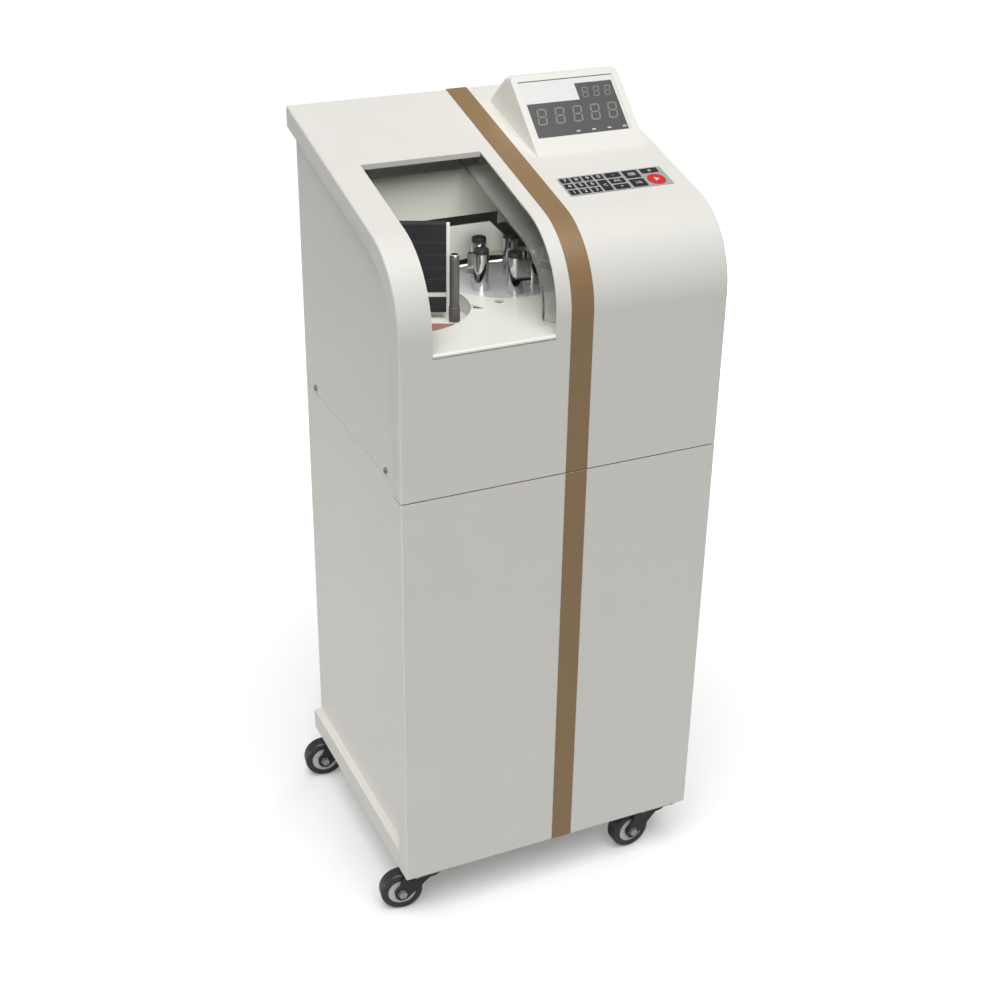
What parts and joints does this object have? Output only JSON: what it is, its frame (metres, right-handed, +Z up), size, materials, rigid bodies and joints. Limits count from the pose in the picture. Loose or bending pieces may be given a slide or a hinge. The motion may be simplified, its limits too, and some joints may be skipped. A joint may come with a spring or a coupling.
{
  "type": "banknote counter",
  "caption": "Floor-standing vacuum bundle note counter: sheet-metal cabinet on casters, open counting bay with suction head and sliding clear door, tilted display and keypad.",
  "frame": {"origin": "on the floor, under the middle of the cabinet", "axes": "+X to the right seen from the front, +Y to the back, +Z up"},
  "size_m": [0.4237, 0.3598, 0.9867],
  "materials": {
    "cabinet_paint": "fine off-white powder coat",
    "stripe_film": "bronze adhesive film",
    "screw_steel": "zinc plated",
    "label_white": "satin white overlay",
    "smoked_filter": "smoked acrylic",
    "circuit_board": "circuit board with digit blocks",
    "keypad_silver": "silver-grey frame",
    "key_black": "black key",
    "key_red": "red key",
    "bay_white": "white paint",
    "pad_black": "ribbed rubber",
    "clamp_grey": "light grey plated steel",
    "head_steel": "turned steel",
    "spindle_chrome": "polished",
    "door_clear": "clear acrylic sheet",
    "rod_steel": "ground rod",
    "frame_grey": "grey primer",
    "motor_grey": "grey paint",
    "pump_dark": "dark paint on casting",
    "hose_rubber": "plain rubber hose",
    "inlet_black": "black moulding",
    "caster_zinc": "zinc plated pressing",
    "fork_black": "black",
    "wheel_rubber": "dark tread"
  },
  "bodies": {
    "cabinet": {"base_tray": "cabinet_paint", "left_side_panel": "cabinet_paint", "right_side_panel": "cabinet_paint", "rear_panel": "cabinet_paint", "front_panel": "cabinet_paint", "hood": "cabinet_paint", "display_housing": "cabinet_paint", "stripes": "stripe_film", "case_screws": "screw_steel", "display_face": "label_white", "display_filter": "smoked_filter", "display_board": "circuit_board", "keypad_plate": "keypad_silver", "bay_liner": "bay_white", "deck_plate": "bay_white", "note_back_plate": "bay_white", "note_plate": "pad_black", "sun_gear": "head_steel", "door_rod": "rod_steel", "chassis": "frame_grey", "drive_motor": "motor_grey", "vacuum_pump": "pump_dark", "vacuum_hose": "hose_rubber", "power_inlet": "inlet_black", "caster_plates": "caster_zinc"},
    "head": {"head": "head_steel"},
    "spindle_1": {"spindle_1": "spindle_chrome"},
    "spindle_2": {"spindle_2": "spindle_chrome"},
    "spindle_3": {"spindle_3": "spindle_chrome"},
    "spindle_4": {"spindle_4": "spindle_chrome"},
    "spindle_5": {"spindle_5": "spindle_chrome"},
    "clamp_finger": {"clamp_finger": "clamp_grey"},
    "safety_door": {"safety_door": "door_clear"},
    "power_switch": {"power_switch": "inlet_black"},
    "key_1": {"key_1": "key_black"},
    "key_2": {"key_2": "key_black"},
    "key_3": {"key_3": "key_black"},
    "key_4": {"key_4": "key_black"},
    "key_5": {"key_5": "key_black"},
    "key_6": {"key_6": "key_black"},
    "key_7": {"key_7": "key_black"},
    "key_8": {"key_8": "key_black"},
    "key_9": {"key_9": "key_black"},
    "key_0": {"key_0": "key_black"},
    "key_tall": {"key_tall": "key_black"},
    "key_function_1": {"key_function_1": "key_black"},
    "key_function_2": {"key_function_2": "key_black"},
    "key_function_3": {"key_function_3": "key_black"},
    "key_mode_1": {"key_mode_1": "key_black"},
    "key_mode_2": {"key_mode_2": "key_black"},
    "key_batch": {"key_batch": "key_black"},
    "key_start": {"key_start": "key_red"},
    "caster_fork_fl": {"caster_fork_fl": "fork_black"},
    "caster_wheel_fl": {"caster_wheel_fl": "wheel_rubber"},
    "caster_fork_fr": {"caster_fork_fr": "fork_black"},
    "caster_wheel_fr": {"caster_wheel_fr": "wheel_rubber"},
    "caster_fork_rl": {"caster_fork_rl": "fork_black"},
    "caster_wheel_rl": {"caster_wheel_rl": "wheel_rubber"},
    "caster_fork_rr": {"caster_fork_rr": "fork_black"},
    "caster_wheel_rr": {"caster_wheel_rr": "wheel_rubber"}
  },
  "joints": [
    {"name": "head_spin", "type": "hinge", "parent": "cabinet", "child": "head", "pos_m": [0.008, 0.015, 0.76], "axis": [0, 0, 1], "continuous": true},
    {"name": "spindle_1_spin", "type": "hinge", "parent": "head", "child": "spindle_1", "pos_m": [0.00692, -0.01948, 0.78], "axis": [0, 0, 1], "continuous": true},
    {"name": "spindle_2_spin", "type": "hinge", "parent": "head", "child": "spindle_2", "pos_m": [0.04046, 0.00331, 0.78], "axis": [0, 0, 1], "continuous": true},
    {"name": "spindle_3_spin", "type": "hinge", "parent": "head", "child": "spindle_3", "pos_m": [0.02915, 0.04226, 0.78], "axis": [0, 0, 1], "continuous": true},
    {"name": "spindle_4_spin", "type": "hinge", "parent": "head", "child": "spindle_4", "pos_m": [-0.01139, 0.04353, 0.78], "axis": [0, 0, 1], "continuous": true},
    {"name": "spindle_5_spin", "type": "hinge", "parent": "head", "child": "spindle_5", "pos_m": [-0.02513, 0.00537, 0.78], "axis": [0, 0, 1], "continuous": true},
    {"name": "clamp_swing", "type": "hinge", "parent": "cabinet", "child": "clamp_finger", "pos_m": [-0.142, -0.035, 0.755], "axis": [0, 0, 1], "range_deg": [-5, 22]},
    {"name": "door_slide", "type": "slide", "parent": "cabinet", "child": "safety_door", "axis": [-1, 0, 0], "range_m": [0, 0.156]},
    {"name": "switch_rock", "type": "hinge", "parent": "cabinet", "child": "power_switch", "pos_m": [-0.11, 0.1755, 0.2295], "axis": [1, 0, 0], "range_deg": [-16, 0]},
    {"name": "key_1_press", "type": "slide", "parent": "cabinet", "child": "key_1", "axis": [0, 0.2368, -0.9715], "range_m": [0, 0.0006], "stiffness_N_per_m": 400},
    {"name": "key_2_press", "type": "slide", "parent": "cabinet", "child": "key_2", "axis": [0, 0.2368, -0.9715], "range_m": [0, 0.0006], "stiffness_N_per_m": 400},
    {"name": "key_3_press", "type": "slide", "parent": "cabinet", "child": "key_3", "axis": [0, 0.2368, -0.9715], "range_m": [0, 0.0006], "stiffness_N_per_m": 400},
    {"name": "key_4_press", "type": "slide", "parent": "cabinet", "child": "key_4", "axis": [0, 0.2368, -0.9715], "range_m": [0, 0.0006], "stiffness_N_per_m": 400},
    {"name": "key_5_press", "type": "slide", "parent": "cabinet", "child": "key_5", "axis": [0, 0.2368, -0.9715], "range_m": [0, 0.0006], "stiffness_N_per_m": 400},
    {"name": "key_6_press", "type": "slide", "parent": "cabinet", "child": "key_6", "axis": [0, 0.2368, -0.9715], "range_m": [0, 0.0006], "stiffness_N_per_m": 400},
    {"name": "key_7_press", "type": "slide", "parent": "cabinet", "child": "key_7", "axis": [0, 0.2368, -0.9715], "range_m": [0, 0.0006], "stiffness_N_per_m": 400},
    {"name": "key_8_press", "type": "slide", "parent": "cabinet", "child": "key_8", "axis": [0, 0.2368, -0.9715], "range_m": [0, 0.0006], "stiffness_N_per_m": 400},
    {"name": "key_9_press", "type": "slide", "parent": "cabinet", "child": "key_9", "axis": [0, 0.2368, -0.9715], "range_m": [0, 0.0006], "stiffness_N_per_m": 400},
    {"name": "key_0_press", "type": "slide", "parent": "cabinet", "child": "key_0", "axis": [0, 0.2368, -0.9715], "range_m": [0, 0.0006], "stiffness_N_per_m": 400},
    {"name": "key_tall_press", "type": "slide", "parent": "cabinet", "child": "key_tall", "axis": [0, 0.2368, -0.9715], "range_m": [0, 0.0006], "stiffness_N_per_m": 400},
    {"name": "key_function_1_press", "type": "slide", "parent": "cabinet", "child": "key_function_1", "axis": [0, 0.2368, -0.9715], "range_m": [0, 0.0006], "stiffness_N_per_m": 400},
    {"name": "key_function_2_press", "type": "slide", "parent": "cabinet", "child": "key_function_2", "axis": [0, 0.2368, -0.9715], "range_m": [0, 0.0006], "stiffness_N_per_m": 400},
    {"name": "key_function_3_press", "type": "slide", "parent": "cabinet", "child": "key_function_3", "axis": [0, 0.2368, -0.9715], "range_m": [0, 0.0006], "stiffness_N_per_m": 400},
    {"name": "key_mode_1_press", "type": "slide", "parent": "cabinet", "child": "key_mode_1", "axis": [0, 0.2368, -0.9715], "range_m": [0, 0.0006], "stiffness_N_per_m": 400},
    {"name": "key_mode_2_press", "type": "slide", "parent": "cabinet", "child": "key_mode_2", "axis": [0, 0.2368, -0.9715], "range_m": [0, 0.0006], "stiffness_N_per_m": 400},
    {"name": "key_batch_press", "type": "slide", "parent": "cabinet", "child": "key_batch", "axis": [0, 0.2368, -0.9715], "range_m": [0, 0.0006], "stiffness_N_per_m": 400},
    {"name": "key_start_press", "type": "slide", "parent": "cabinet", "child": "key_start", "axis": [0, 0.2368, -0.9715], "range_m": [0, 0.0006], "stiffness_N_per_m": 400},
    {"name": "caster_fl_swivel", "type": "hinge", "parent": "cabinet", "child": "caster_fork_fl", "pos_m": [-0.1625, -0.15, 0.056], "axis": [0, 0, 1], "continuous": true},
    {"name": "caster_fl_roll", "type": "hinge", "parent": "caster_fork_fl", "child": "caster_wheel_fl", "pos_m": [-0.19608, -0.14468, 0.027], "axis": [-0.1564, -0.9877, 0], "continuous": true},
    {"name": "caster_fr_swivel", "type": "hinge", "parent": "cabinet", "child": "caster_fork_fr", "pos_m": [0.1625, -0.15, 0.056], "axis": [0, 0, 1], "continuous": true},
    {"name": "caster_fr_roll", "type": "hinge", "parent": "caster_fork_fr", "child": "caster_wheel_fr", "pos_m": [0.12863, -0.15296, 0.027], "axis": [0.0872, -0.9962, 0], "continuous": true},
    {"name": "caster_rl_swivel", "type": "hinge", "parent": "cabinet", "child": "caster_fork_rl", "pos_m": [-0.1625, 0.15, 0.056], "axis": [0, 0, 1], "continuous": true},
    {"name": "caster_rl_roll", "type": "hinge", "parent": "caster_fork_rl", "child": "caster_wheel_rl", "pos_m": [-0.19617, 0.15473, 0.027], "axis": [-0.1392, -0.9903, 0], "continuous": true},
    {"name": "caster_rr_swivel", "type": "hinge", "parent": "cabinet", "child": "caster_fork_rr", "pos_m": [0.1625, 0.15, 0.056], "axis": [0, 0, 1], "continuous": true},
    {"name": "caster_rr_roll", "type": "hinge", "parent": "caster_fork_rr", "child": "caster_wheel_rr", "pos_m": [0.12852, 0.15119, 0.027], "axis": [-0.0349, -0.9994, 0], "continuous": true}
  ],
  "couplings": [
    {"joint": "spindle_1_spin", "follows": "head_spin", "ratio": 2},
    {"joint": "spindle_2_spin", "follows": "head_spin", "ratio": 2},
    {"joint": "spindle_3_spin", "follows": "head_spin", "ratio": 2},
    {"joint": "spindle_4_spin", "follows": "head_spin", "ratio": 2},
    {"joint": "spindle_5_spin", "follows": "head_spin", "ratio": 2}
  ]
}
